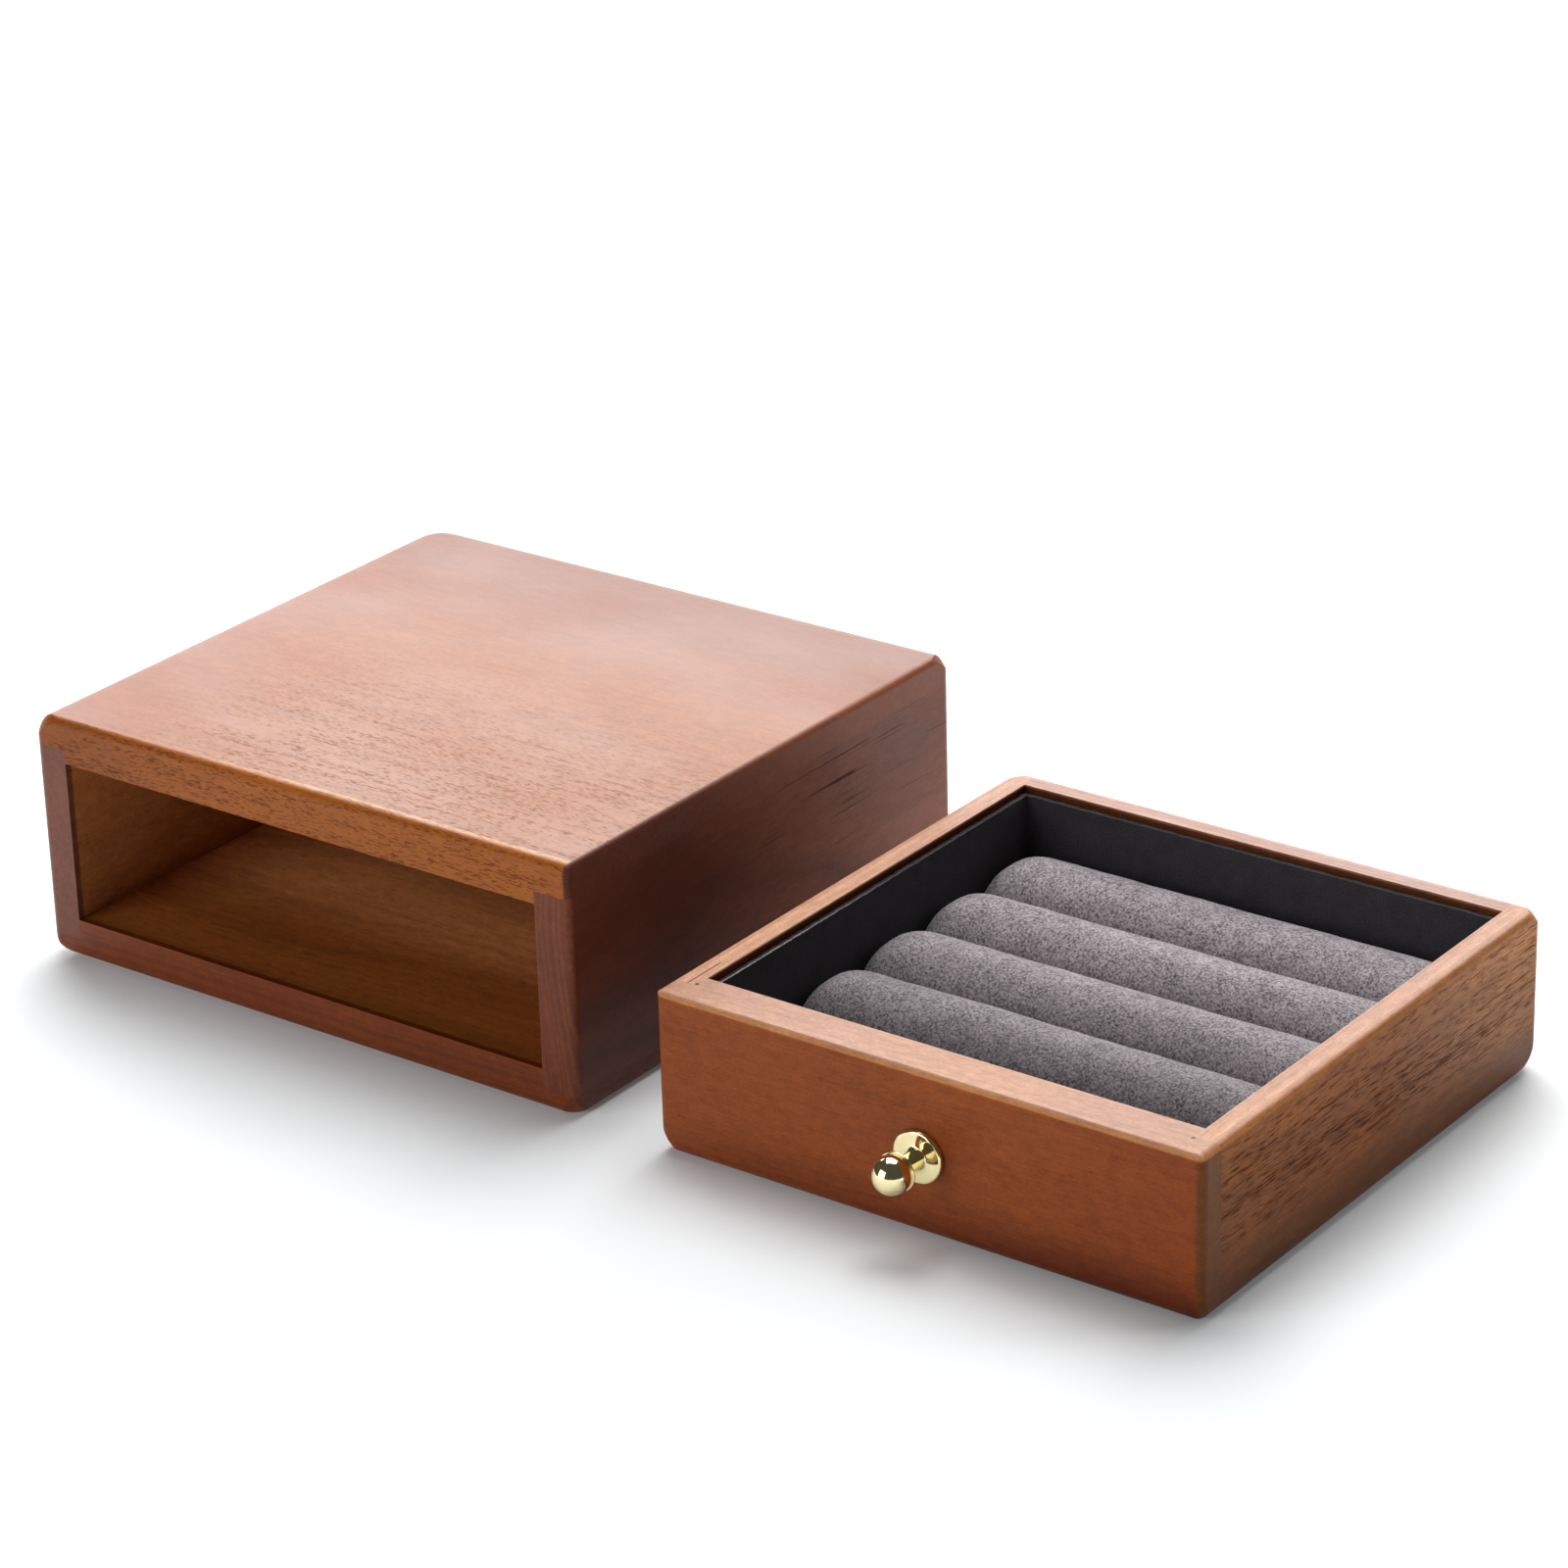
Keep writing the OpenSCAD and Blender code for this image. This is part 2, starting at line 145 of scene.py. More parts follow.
def table_material():
    """White paper that takes the shadows near the object and is plain white further out.

    It is clear from below, so that the underside of the object can be seen.
    """
    material, tree, output = new_material("table_white")
    geometry = node(tree, "ShaderNodeNewGeometry").outputs
    places = {0: geometry["Position"], 1: OBJECT_MIDDLE}
    away = node(tree, "ShaderNodeVectorMath", places, operation="DISTANCE").outputs["Value"]
    far = step(tree, away, SHADOWS_FADE, SHADOWS_END)
    paper = node(tree, "ShaderNodeBsdfDiffuse", {"Color": (*PAPER_TONE, 1)}).outputs[0]
    glow = shine(tree, "ShaderNodeEmission", GLOW_TONE, GLOW_STRENGTH)
    near = node(tree, "ShaderNodeAddShader", {0: paper, 1: glow}).outputs[0]
    outer = shine(tree, "ShaderNodeEmission", WHITE, OUTER_STRENGTH)
    clear = node(tree, "ShaderNodeBsdfTransparent").outputs[0]
    above = mix_shaders(tree, far, near, outer)
    both_sides = mix_shaders(tree, geometry["Backfacing"], above, clear)
    tree.links.new(both_sides, output.inputs["Surface"])
    return material


table_mesh = bpy.data.meshes.new("table")
table_corners = [(TABLE_REACH * x, TABLE_REACH * y, 0) for x, y in ((-1, -1), (1, -1), (1, 1), (-1, 1))]
table_mesh.from_pydata(table_corners, [], [(0, 1, 2, 3)])
table_mesh.materials.append(table_material())
table = link("table", table_mesh)


def soft_box(name, place, size, power, mirrored=True):
    """A rectangular area light at place, which faces the middle of the object.

    Sizes are in metres and power in watts. mirrored says whether polished surfaces show it.
    """
    light = bpy.data.lights.new(name, "AREA")
    light.shape = "RECTANGLE"
    light.size, light.size_y = size
    light.energy = power
    lamp = link(name, light)
    lamp.location = place
    lamp.rotation_euler = (OBJECT_MIDDLE - Vector(place)).to_track_quat("-Z", "Y").to_euler()
    lamp.visible_glossy = mirrored


soft_box("soft_box_above", place=(-0.17, 0.50, 1.38), size=(1.2, 1.1), power=23)
soft_box("screen_behind", place=(-1.5, 2.1, 1.1), size=(3.4, 1.6), power=94)
soft_box("fill_in_front", place=(-0.50, -1.5, 0.50), size=(1.1, 1.1), power=11)
soft_box("strip_right", place=(1.1, 0.95, 0.6), size=(0.5, 0.5), power=3.0, mirrored=False)

world = bpy.data.worlds.new("studio")
world.use_nodes = True
air = world.node_tree
air.nodes.clear()
room = shine(air, "ShaderNodeBackground", WHITE, ROOM_STRENGTH)
backdrop = shine(air, "ShaderNodeBackground", WHITE, 1.0)
seen = node(air, "ShaderNodeLightPath").outputs["Is Camera Ray"]
node(air, "ShaderNodeOutputWorld", {"Surface": mix_shaders(air, seen, room, backdrop)})
bpy.context.scene.world = world


# ---------------------------------------------------------------------------------------------
# Wood of the case
# Five boards of stained, lacquered wood: the top and the bottom are rabbeted over the side walls, and
# the back is set in between the four. Their fibres run along each board, with short dark pores, and
# each has its own stretch of grain and its own tone. Tones are linear red, green and blue.
MM = 0.001
# For each way the fibres run: that axis, then the two axes across them
GRAIN_ORDER = {"X": ("X", "Y", "Z"), "Y": ("Y", "X", "Z")}
# How far each next board's grain is moved on, in metres
BOARD_SHIFT = (0.731, 0.377, 0.193)
# How far the growth rings wander over a hand's width, and how far they ripple, in millimetres
RING_WANDER, RING_RIPPLE = 7.0, 0.7
# Height in the noise above which a pore opens, how far crowding lowers it, and how soft its edge is
PORE_PEAK, PORE_CROWD, PORE_EDGE = 0.65, 0.08, 0.06
# What is left of the wood's colour in an open pore
PORE_TINT = (0.30, 0.20, 0.16)
# Depth of a pore under the lacquer, in metres
PORE_RELIEF = 0.00005
# The lacquer's roughness, where it is glossiest and where it is dullest
GLOSSIEST, DULLEST = 0.36, 0.46


def ramp(tree, factor, stops):
    """A colour that changes with factor, through the given (place, colour) stops."""
    made = node(tree, "ShaderNodeValToRGB", {0: factor})
    elements = made.color_ramp.elements
    while len(elements) < len(stops):
        elements.new(0.5)
    for element, (place, colour) in zip(elements, stops):
        element.position = place
        element.color = (*colour, 1)
    return made.outputs["Color"]


def math_node(tree, operation, first, second):
    """The result of an operation on two values."""
    return node(tree, "ShaderNodeMath", {0: first, 1: second}, operation=operation).outputs[0]


def times(tree, first, second):
    """Two values multiplied."""
    return math_node(tree, "MULTIPLY", first, second)


def plus(tree, first, second):
    """Two values added."""
    return math_node(tree, "ADD", first, second)


def blend_colour(tree, factor, first, second, mode="MIX"):
    """Two colours mixed, or multiplied, by factor."""
    made = node(tree, "ShaderNodeMix", data_type="RGBA", blend_type=mode)
    for socket, value in ((made.inputs[0], factor), (made.inputs[6], first), (made.inputs[7], second)):
        if isinstance(value, bpy.types.NodeSocket):
            tree.links.new(value, socket)
        else:
            socket.default_value = value
    return made.outputs[2]


def speckle(tree, place, scale, detail, rough=0.5, distortion=0.0):
    """Noise whose features are about 1 / scale wide, in the units of place."""
    sockets = {
        "Vector": place,
        "Scale": scale,
        "Detail": detail,
        "Roughness": rough,
        "Distortion": distortion,
    }
    return node(tree, "ShaderNodeTexNoise", sockets).outputs["Fac"]


def object_place(tree):
    """Where a point lies on the object, in metres."""
    return node(tree, "ShaderNodeTexCoord").outputs["Object"]


def relief(tree, height, distance, strength=0.5):
    """The normal of a surface whose relief is height times distance, in metres."""
    sockets = {"Height": height, "Distance": distance, "Strength": strength}
    return node(tree, "ShaderNodeBump", sockets).outputs[0]


def coat(tree, output, sockets):
    """Makes a surface with the given inputs the material's finish."""
    shader = node(tree, "ShaderNodeBsdfPrincipled", sockets)
    tree.links.new(shader.outputs[0], output.inputs["Surface"])


def within(tree, split, limits):
    """How far a point lies inside every limit, from 0 to 1.

    A limit is an axis, and the places along it, in metres, where it begins and where it is full.
    """
    inside = 1.0
    for axis, start, full in limits:
        inside = times(tree, inside, step(tree, split[axis], start, full))
    return inside


def limit(axis, origin, start, full):
    """A limit whose two places are given in millimetres from an origin in metres."""
    return (axis, origin + start * MM, origin + full * MM)


def band(axis, low, high, soft):
    """The two limits of a band from low to high, with soft edges, in metres."""
    return [(axis, low, low + soft), (axis, high, high - soft)]


def wood(name, along, seed, tone, heart, lines, pores, spread=0.12, gather=0.8,
         pore_zones=(((), 1.0),), zones=(), marks=(), coarse=1.0, gloss=0.25):
    """Stained, lacquered wood whose fibres run along one axis.

    seed picks the stretch of grain. tone is the mean colour and spread how far the figure goes
    above and below it. heart is where the middle of the tree lay, along the two axes across the
    fibres: the growth rings curve round it, and lines says how clearly they show. pores are their
    length and width in millimetres, how crowded they are, and how dark; gather is 0 when they lie
    everywhere and 1 when they keep to patches. Each pore zone is some limits and the strength of
    the pores inside them. Each zone is some limits and the tone inside them; each mark is some
    limits and a dark colour that covers the grain. coarse scales the contrast of the fibres, and
    gloss is how much the lacquer mirrors.
    """
    material, tree, output = new_material(name)
    split = node(tree, "ShaderNodeSeparateXYZ", {0: object_place(tree)}).outputs
    first, second, third = GRAIN_ORDER[along]
    axes = {0: split[first], 1: split[second], 2: split[third]}
    ordered = node(tree, "ShaderNodeCombineXYZ", axes).outputs[0]
    moves = {0: ordered, 1: tuple(seed * shift for shift in BOARD_SHIFT)}
    moved = node(tree, "ShaderNodeVectorMath", moves).outputs[0]

    def stretched(length, width, detail=2.0, rough=0.5, distortion=0.0):
        """Noise whose features are length long along the fibres and width wide across them, in mm."""
        scale = (1000 / length, 1000 / width, 1000 / width)
        scaled = node(tree, "ShaderNodeVectorMath", {0: moved, 1: scale}, operation="MULTIPLY").outputs[0]
        return speckle(tree, scaled, 1.0, detail, rough, distortion)

    # Growth rings: the distance from the heart in mm, a little wavy along the board
    aside = math_node(tree, "SUBTRACT", split[second], heart[0])
    above = math_node(tree, "SUBTRACT", split[third], heart[1])
    squares = plus(tree, times(tree, aside, aside), times(tree, above, above))
    radius = times(tree, math_node(tree, "SQRT", squares, 0.0), 1000.0)
    waves = times(tree, stretched(120, 45, 1.0), RING_WANDER)
    ripple = times(tree, stretched(18, 4, 2.0), RING_RIPPLE)
    radius = plus(tree, radius, plus(tree, waves, ripple))
    ring_noise = {"W": radius, "Scale": 0.75, "Detail": 2.0, "Roughness": 0.6}
    rings = node(tree, "ShaderNodeTexNoise", ring_noise, noise_dimensions="1D").outputs["Fac"]

    # Figure, from broad bands down to specks
    bands = stretched(110, 9, 3.0, 0.55, 0.6)
    patches = stretched(50, 30, 2.0)
    fibres = stretched(11, 0.5, 3.0, 0.6)
    mottle = stretched(3.5, 1.8, 2.0)
    speck = stretched(0.9, 0.45, 1.0)

    # Pores: the peaks of a fine noise, in rows, and only where they gather
    pore_length, pore_width, crowding, pore_depth = pores
    single = times(tree, stretched(pore_length, pore_width, 0.0), 0.6)
    row = times(tree, stretched(20 * pore_length, 5 * pore_width, 1.0), 0.4)
    peak = PORE_PEAK - PORE_CROWD * crowding
    holes = step(tree, plus(tree, single, row), peak, peak + PORE_EDGE)
    where = step(tree, stretched(40, 14, 1.0), 0.16 + 0.34 * gather, 0.26 + 0.38 * gather)
    strength = 0.0
    for limits, amount in pore_zones:
        strength = math_node(tree, "MAXIMUM", strength, times(tree, within(tree, split, limits), amount))
    open_pores = times(tree, times(tree, holes, where), strength)

    # Colour: the zones' tones, then the figure, the pores and the marks. Each layer of the figure
    # has a strength, the heights in its noise between which its shade fades out, and the shade.
    colour = (*tone, 1)
    for limits, inner_tone in zones:
        colour = blend_colour(tree, within(tree, split, limits), colour, (*inner_tone, 1))
    figure = plus(tree, times(tree, bands, 0.45), times(tree, patches, 0.55))
    depth = remap(tree, figure, 0.34, 0.66, 1 - spread, 1 + spread)
    colour = blend_colour(tree, 1.0, colour, depth, "MULTIPLY")
    for layer, share, low, high, shade in (
        (patches, 1.0, 0.42, 0.62, (0.99, 0.96, 1.0)),
        (rings, lines, 0.36, 0.58, (0.62, 0.56, 0.52)),
        (fibres, coarse, 0.32, 0.60, (0.84, 0.81, 0.79)),
        (mottle, coarse, 0.36, 0.62, (0.86, 0.84, 0.83)),
        (speck, coarse, 0.32, 0.62, (0.84, 0.82, 0.80)),
    ):
        shaded = ramp(tree, layer, [(low, shade), (high, WHITE)])
        colour = blend_colour(tree, share, colour, shaded, "MULTIPLY")
    pored = blend_colour(tree, 1.0, colour, (*PORE_TINT, 1), "MULTIPLY")
    colour = blend_colour(tree, times(tree, open_pores, pore_depth), colour, pored)
    for limits, mark_tone in marks:
        colour = blend_colour(tree, within(tree, split, limits), colour, (*mark_tone, 1))

    # Skin: the fibres stand up a little, and the pores are duller pits
    height = math_node(tree, "SUBTRACT", times(tree, fibres, 0.25), open_pores)
    rough = remap(tree, patches, 0.3, 0.7, GLOSSIEST, DULLEST)
    coat(tree, output, {
        "Base Color": colour,
        "Roughness": plus(tree, rough, times(tree, open_pores, 0.3)),
        "Normal": relief(tree, height, PORE_RELIEF),
        "IOR": 1.5,
        "Specular IOR Level": gloss,
    })
    return material


def dress(part, material):
    """Gives a CAD node a finish in place of its plain colour."""
    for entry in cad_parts[part].material_slots:
        entry.material = material


case_low, case_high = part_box("case_top")
LEFT, FRONT = case_low.x, case_low.y
RIGHT, BACK = case_high.x, case_high.y
front_face = [limit("Y", FRONT, 2.0, 1.2)]
right_face = [limit("X", RIGHT, -1.5, -0.9)]
# Where the painted shade on the right side lies, strongest at the front
right_front_painted_shade = right_face + [("Y", BACK - 30 * MM, FRONT + 30 * MM)]
# The right side is painted dark near the front and paler towards the back: painted shade, darkest beside
# the drawer
SIDE_PAINTED_SHADE, SIDE_LIGHT = (0.120, 0.024, 0.008), (0.32, 0.100, 0.046)
# Inside, behind the front edge and in front of the back panel
inside_depth = [limit("Y", FRONT, 1.2, 2.0), limit("Y", BACK, -8, -9)]

# The rounded edge over the front is painted a brighter orange: painted light on the rounding
painted_light_top_edge = [limit("Y", FRONT, 2.6, 1.4)]
# A pale line is painted along the arris over the front, towards the right: a painted highlight
painted_highlight_edge = band("Y", FRONT + 2.0 * MM, FRONT + 3.6 * MM, 0.5 * MM) + [limit("X", LEFT, 30, 90)]
pored_part = [("Y", BACK - 40 * MM, FRONT + 20 * MM), limit("X", LEFT, 5, 60)]
dress("case_top", wood(
    "case_top_wood", along="X", seed=1.0, tone=(0.375, 0.121, 0.031), heart=(0.03, -0.35), lines=0.10,
    spread=0.08, coarse=0.7, pores=(1.5, 0.26, 1.25, 0.65), gather=0.3,
    pore_zones=[(pored_part, 0.6), (front_face, 0.95)],
    zones=[
        # Towards its left end and its back the top is painted darker: painted shade for how the light
        # falls there
        ([limit("X", LEFT, 50, 0)], (0.34, 0.100, 0.036)),
        ([limit("Y", BACK, -70, 0)], (0.25, 0.060, 0.014)),
        # Painted light on the rounded front edge
        (painted_light_top_edge, (0.52, 0.145, 0.012)),
        # The painted highlight along the arris
        (painted_highlight_edge, (0.59, 0.29, 0.06)),
        (front_face, (0.39, 0.105, 0.002)),
        (front_face + [limit("X", LEFT, 70, 10)], (0.30, 0.074, 0.002)),
        (right_face, SIDE_LIGHT),
        # Painted shade towards the front of the right side
        (right_front_painted_shade, SIDE_PAINTED_SHADE),
    ],
))

# Inside, the floor is paler, partly its own tone and partly painted light for the dim inside, and from
# about 20 mm behind the mouth it is painted paler still: painted light
inner_floor = band("X", LEFT + 6 * MM, RIGHT - 6 * MM, 0.5 * MM) + [limit("Y", BACK, -6.5, -7)]
deep_floor_painted_light = inner_floor + [limit("Y", FRONT, 20, 48)]
dress("case_bottom", wood(
    "case_bottom_wood", along="X", seed=2.0, tone=(0.30, 0.090, 0.020), heart=(0.02, 0.30), lines=0.45,
    pores=(3.0, 0.26, 0.3, 0.4),
    zones=[
        (inner_floor, (0.52, 0.185, 0.040)),
        # Painted light deep inside the case
        (deep_floor_painted_light, (1.0, 0.46, 0.16)),
        (front_face, (0.235, 0.046, 0.003)),
        (right_face, SIDE_LIGHT),
        # Painted shade towards the front of the right side
        (right_front_painted_shade, SIDE_PAINTED_SHADE),
    ],
))

# The wall's inner face is paler, partly its own tone and partly painted light for the dim inside
left_inner_face = [limit("X", LEFT, 7.4, 8.2)] + inside_depth
dress("case_left_wall", wood(
    "case_left_wood", along="Y", seed=3.0, tone=(0.36, 0.105, 0.026), heart=(-0.35, 0.03), lines=0.2,
    pores=(3.0, 0.26, 0.3, 0.35),
    zones=[(left_inner_face, (0.56, 0.215, 0.060)), (front_face, (0.21, 0.072, 0.040))],
))

# A few long dark streaks lie high on the rear half of the right side
# The wall's inner face is paler, partly its own tone and partly painted light for the dim inside
right_inner_face = [limit("X", RIGHT, -7.4, -8.2)] + inside_depth
streaked_part = [("Y", FRONT + 35 * MM, BACK - 50 * MM), limit("X", RIGHT, -3, -2), limit("Z", 0, 18, 36)]
dress("case_right_wall", wood(
    "case_right_wood", along="Y", seed=4.0, tone=SIDE_LIGHT, heart=(0.27, 0.045), lines=0.8,
    pores=(26, 0.50, 0.50, 0.95), gather=0.0, pore_zones=[(streaked_part, 1.0)],
    zones=[
        # Painted shade towards the front of the right side
        (right_front_painted_shade, SIDE_PAINTED_SHADE),
        (front_face, (0.205, 0.050, 0.016)),
        (right_inner_face, (0.60, 0.24, 0.065)),
    ],
))

# The back panel is pale on its inner face, partly its own tone and partly painted light for the dim
# inside, and darker on its outer face
outer_back = [limit("Y", BACK, -2.0, -1.2)]
dress("case_back", wood(
    "case_back_wood", along="X", seed=5.0, tone=(0.60, 0.22, 0.055), heart=(0.40, 0.03), lines=0.25,
    pores=(3.0, 0.26, 0.2, 0.3), zones=[(outer_back, (0.34, 0.10, 0.028))],
))


# ---------------------------------------------------------------------------------------------
# Wood of the drawer
# A front board lapped over two side boards, a rear board between them, and a panel under all four.
# The front is smooth, and painted darkest at its lower right: painted shade. The sides are paler, with
# many short pores.
# Two filled pin holes and an open seam show on the rim.
drawer_low, drawer_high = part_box("drawer_front")
DRAWER_LEFT, DRAWER_RIGHT = drawer_low.x, drawer_high.x
DRAWER_FRONT = drawer_low.y
RIM = drawer_high.z
rim_face = [limit("Z", RIM, -0.7, -0.2)]
# The rim's rounded outer edge is painted a paler orange: painted light on the rounding
rim_edge = [limit("Z", RIM, -1.5, -0.9)]
below_rim = [limit("Z", RIM, -1.0, -2.5)]
# The boards are painted darker towards the table: painted shade at the foot
shaded_foot = [limit("Z", 0, 17, 2)]
# The sides' tone, the painted light on the rim's rounded edge, and the painted shade at the foot
SIDE_TONE, RIM_EDGE_PAINTED_LIGHT, FOOT_PAINTED_SHADE = (0.37, 0.108, 0.006), (0.60, 0.25, 0.07), (0.15, 0.042, 0.002)
PIN_RADIUS, PIN_SOFT = 0.6 * MM, 0.35 * MM
SEAM_HALF, SEAM_SOFT = 0.26 * MM, 0.16 * MM


def pin_mark(right, deep):
    """The mark of a filled pin hole, so many mm right of and behind the rim's front left corner."""
    x = DRAWER_LEFT + right * MM
    y = DRAWER_FRONT + deep * MM
    limits = band("X", x - PIN_RADIUS, x + PIN_RADIUS, PIN_SOFT)
    limits += band("Y", y - PIN_RADIUS, y + PIN_RADIUS, PIN_SOFT)
    return (limits + rim_face, (0.03, 0.006, 0.004))


left_pin = pin_mark(5.85, 7.0)
right_pin = pin_mark(125.3, 5.8)

seam_x = DRAWER_LEFT + 3.85 * MM
seam_limits = band("X", seam_x - SEAM_HALF, seam_x + SEAM_HALF, SEAM_SOFT)
seam_limits += band("Y", DRAWER_FRONT + 5.6 * MM, DRAWER_FRONT + 18.4 * MM, 1.5 * MM)
seam = (seam_limits + rim_face, (0.10, 0.025, 0.010))

front_end = [limit("X", DRAWER_RIGHT, -2.0, -1.2)]
# Where the painted shade on the front lies: low, and deepest at the right
lower_right_painted_shade = [limit("Z", 0, 14, 0), ("X", DRAWER_LEFT - 30 * MM, DRAWER_RIGHT)]
dress("drawer_front", wood(
    "drawer_front_wood", along="X", seed=6.0, tone=(0.315, 0.072, 0.011), heart=(0.0, -0.3), lines=0.15,
    spread=0.13, coarse=1.4, gloss=0.18, pores=(2.0, 0.26, 0.1, 0.25),
    pore_zones=[(below_rim, 1.0)], marks=[left_pin, right_pin],
    zones=[
        # Painted shade: darker towards the right, and darkest low at the right
        ([("X", DRAWER_LEFT + 70 * MM, DRAWER_RIGHT)], (0.29, 0.058, 0.006)),
        (lower_right_painted_shade, (0.12, 0.018, 0.002)),
        (front_end, (0.18, 0.052, 0.003)),
        # Painted shade at the foot
        (front_end + shaded_foot, FOOT_PAINTED_SHADE),
        (rim_edge, RIM_EDGE_PAINTED_LIGHT),
        # The top of the rim is painted much paler than the board: painted light on the top face
        (rim_face, (0.55, 0.28, 0.16)),
    ],
))

# The sides are painted paler towards the back: painted light
far_half_painted_light = [limit("Y", DRAWER_FRONT, 60, 130)]
side_zones = [
    (far_half_painted_light, (0.58, 0.25, 0.075)),
    # Painted shade at the foot
    (shaded_foot, FOOT_PAINTED_SHADE),
    (rim_edge, RIM_EDGE_PAINTED_LIGHT),
    # The top of the rim is painted much paler than the board: painted light on the top face
    (rim_face, (0.68, 0.36, 0.21)),
]
left_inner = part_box("drawer_left_side")[1].x
# A dark strip painted on the inner face of the left side, under the rim: painted shade in the gap above
# the liner
left_inside_painted_shade = [limit("X", left_inner, -0.6, -0.2), limit("Z", RIM, -0.2, -0.6)]
dress("drawer_left_side", wood(
    "drawer_left_wood", along="Y", seed=7.0, tone=SIDE_TONE, heart=(DRAWER_LEFT - 0.2, 0.02), lines=0.7,
    coarse=1.2, gloss=0.14, pores=(4.0, 0.24, 1.3, 0.75), gather=0.2,
    pore_zones=[(below_rim, 1.0)], marks=[seam, left_pin],
    zones=side_zones + [(left_inside_painted_shade, (0.10, 0.018, 0.006))],
))

dress("drawer_right_side", wood(
    "drawer_right_wood", along="Y", seed=8.0, tone=SIDE_TONE, heart=(DRAWER_RIGHT + 0.2, 0.02), lines=0.7,
    coarse=1.2, gloss=0.14, pores=(4.0, 0.22, 1.5, 0.80), gather=0.0,
    pore_zones=[(below_rim + [limit("Z", 0, 6, 18)], 1.0)], marks=[right_pin],
    zones=side_zones,
))

rear_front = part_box("drawer_rear")[0].y
dress("drawer_rear", wood(
    "drawer_rear_wood", along="X", seed=9.0, tone=SIDE_TONE, heart=(0.3, 0.02), lines=0.6, coarse=1.2,
    pores=(3.0, 0.24, 0.6, 0.6), pore_zones=[(below_rim, 1.0)],
    zones=[
        # Painted shade at the foot
        (shaded_foot, FOOT_PAINTED_SHADE),
        # A dark strip painted on the rear board's inner face: painted shade in the gap above the liner
        ([limit("Y", rear_front, 0.9, 0.3)], (0.17, 0.045, 0.006)),
        # The top of the rim is painted much paler than the board: painted light on the top face
        (rim_face, (0.50, 0.24, 0.15)),
    ],
))

dress("drawer_panel", wood(
    "drawer_panel_wood", along="X", seed=10.0, tone=(0.44, 0.26, 0.15), heart=(0.0, -0.3), lines=0.5,
    pores=(3.0, 0.3, 0.4, 0.4),
))


# ---------------------------------------------------------------------------------------------
# Brads and screw
# Nails of drawn steel wire, driven from below through the bottom board of the case and the bottom
# panel of the drawer, and the machine screw that holds the knob. Their steel has a dull grey skin.
MARKS_PER_METRE = 900


def metal(name, colour, roughness, scratch):
    """A metal whose skin has fine marks of the given depth in metres."""
    material, tree, output = new_material(name)
    marks = speckle(tree, object_place(tree), MARKS_PER_METRE, 4.0)
    worn = tuple(0.92 * channel for channel in colour)
    coat(tree, output, {
        "Base Color": ramp(tree, marks, [(0.3, worn), (0.7, colour)]),
        "Roughness": remap(tree, marks, 0.3, 0.7, roughness * 0.8, roughness * 1.2),
        "Normal": relief(tree, marks, scratch),
        "Metallic": 1.0,
    })
    return material


steel = metal("brad_steel_skin", (0.55, 0.54, 0.52), 0.35, 0.00001)
for part in ("case_brads", "case_wall_brad", "drawer_brads", "drawer_rear_brad", "knob_screw"):
    dress(part, steel)


# ---------------------------------------------------------------------------------------------
# Knob
# Turned brass, polished and lacquered: a thin flange, a slim neck, a lip and a ball. It is turned
# as one piece, so it is one outline spun about the axis that stands out of the front board.
knob_low, knob_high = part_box("knob")
knob_axis = Vector(((knob_low.x + knob_high.x) / 2, knob_high.y, (knob_low.z + knob_high.z) / 2))
FLANGE_RADIUS = (knob_high.x - knob_low.x) / 2
FLANGE_THICK, FLANGE_ROUND = 1.4 * MM, 0.5 * MM
NECK_RADIUS, NECK_ROUND = 2.2 * MM, 0.5 * MM
LIP_RADIUS, LIP_ROUND = 4.3 * MM, 0.28 * MM
BALL_RADIUS = 4.15 * MM
# The ball's radius where it leaves the lip
BALL_FOOT = 3.75 * MM
ball_reach = knob_high.y - knob_low.y - BALL_RADIUS
lip_reach = ball_reach - 1.75 * MM


def bridge(shape, near, far):
    """The faces between two rings of points."""
    count = len(near)
    faces = []
    for i in range(count):
        j = (i + 1) % count
        faces.append(shape.faces.new((near[i], near[j], far[j], far[i])))
    return faces


def finished_mesh(name, shape):
    """The mesh of a shape, with its faces turned outwards."""
    bmesh.ops.recalc_face_normals(shape, faces=shape.faces)
    mesh = bpy.data.meshes.new(name)
    shape.to_mesh(mesh)
    shape.free()
    return mesh


def spin(name, outline, middle, steps=96):
    """A body of revolution about -Y through middle; its outline is points of radius and distance."""
    shape = bmesh.new()
    rings = []
    for radius, reach in outline:
        ring = []
        for i in range(steps):
            angle = 2 * math.pi * i / steps
            place = middle + Vector((radius * math.cos(angle), -reach, radius * math.sin(angle)))
            ring.append(shape.verts.new(place))
        rings.append(ring)
    for near, far in zip(rings, rings[1:]):
        for face in bridge(shape, near, far):
            face.smooth = True
    for ring in (rings[0], rings[-1]):
        shape.faces.new(ring)
    return link(name, finished_mesh(name, shape))


def arc(middle, radius, start, end, count):
    """Points on an arc of the outline; its angles are degrees from the axis that stands out."""
    points = []
    for i in range(count + 1):
        angle = math.radians(start + (end - start) * i / count)
        points.append((middle[0] + radius * math.sin(angle), middle[1] + radius * math.cos(angle)))
    return points


# The flange, with a rounded rim and a slightly domed face
knob_outline = [(FLANGE_RADIUS, 0.0)]
knob_outline += arc((FLANGE_RADIUS - FLANGE_ROUND, FLANGE_THICK - FLANGE_ROUND), FLANGE_ROUND, 90, 0, 6)
knob_outline += [
    (FLANGE_RADIUS - 1.6 * MM, FLANGE_THICK + 0.05 * MM),
    (NECK_RADIUS + 0.6 * MM, FLANGE_THICK + 0.12 * MM),
]
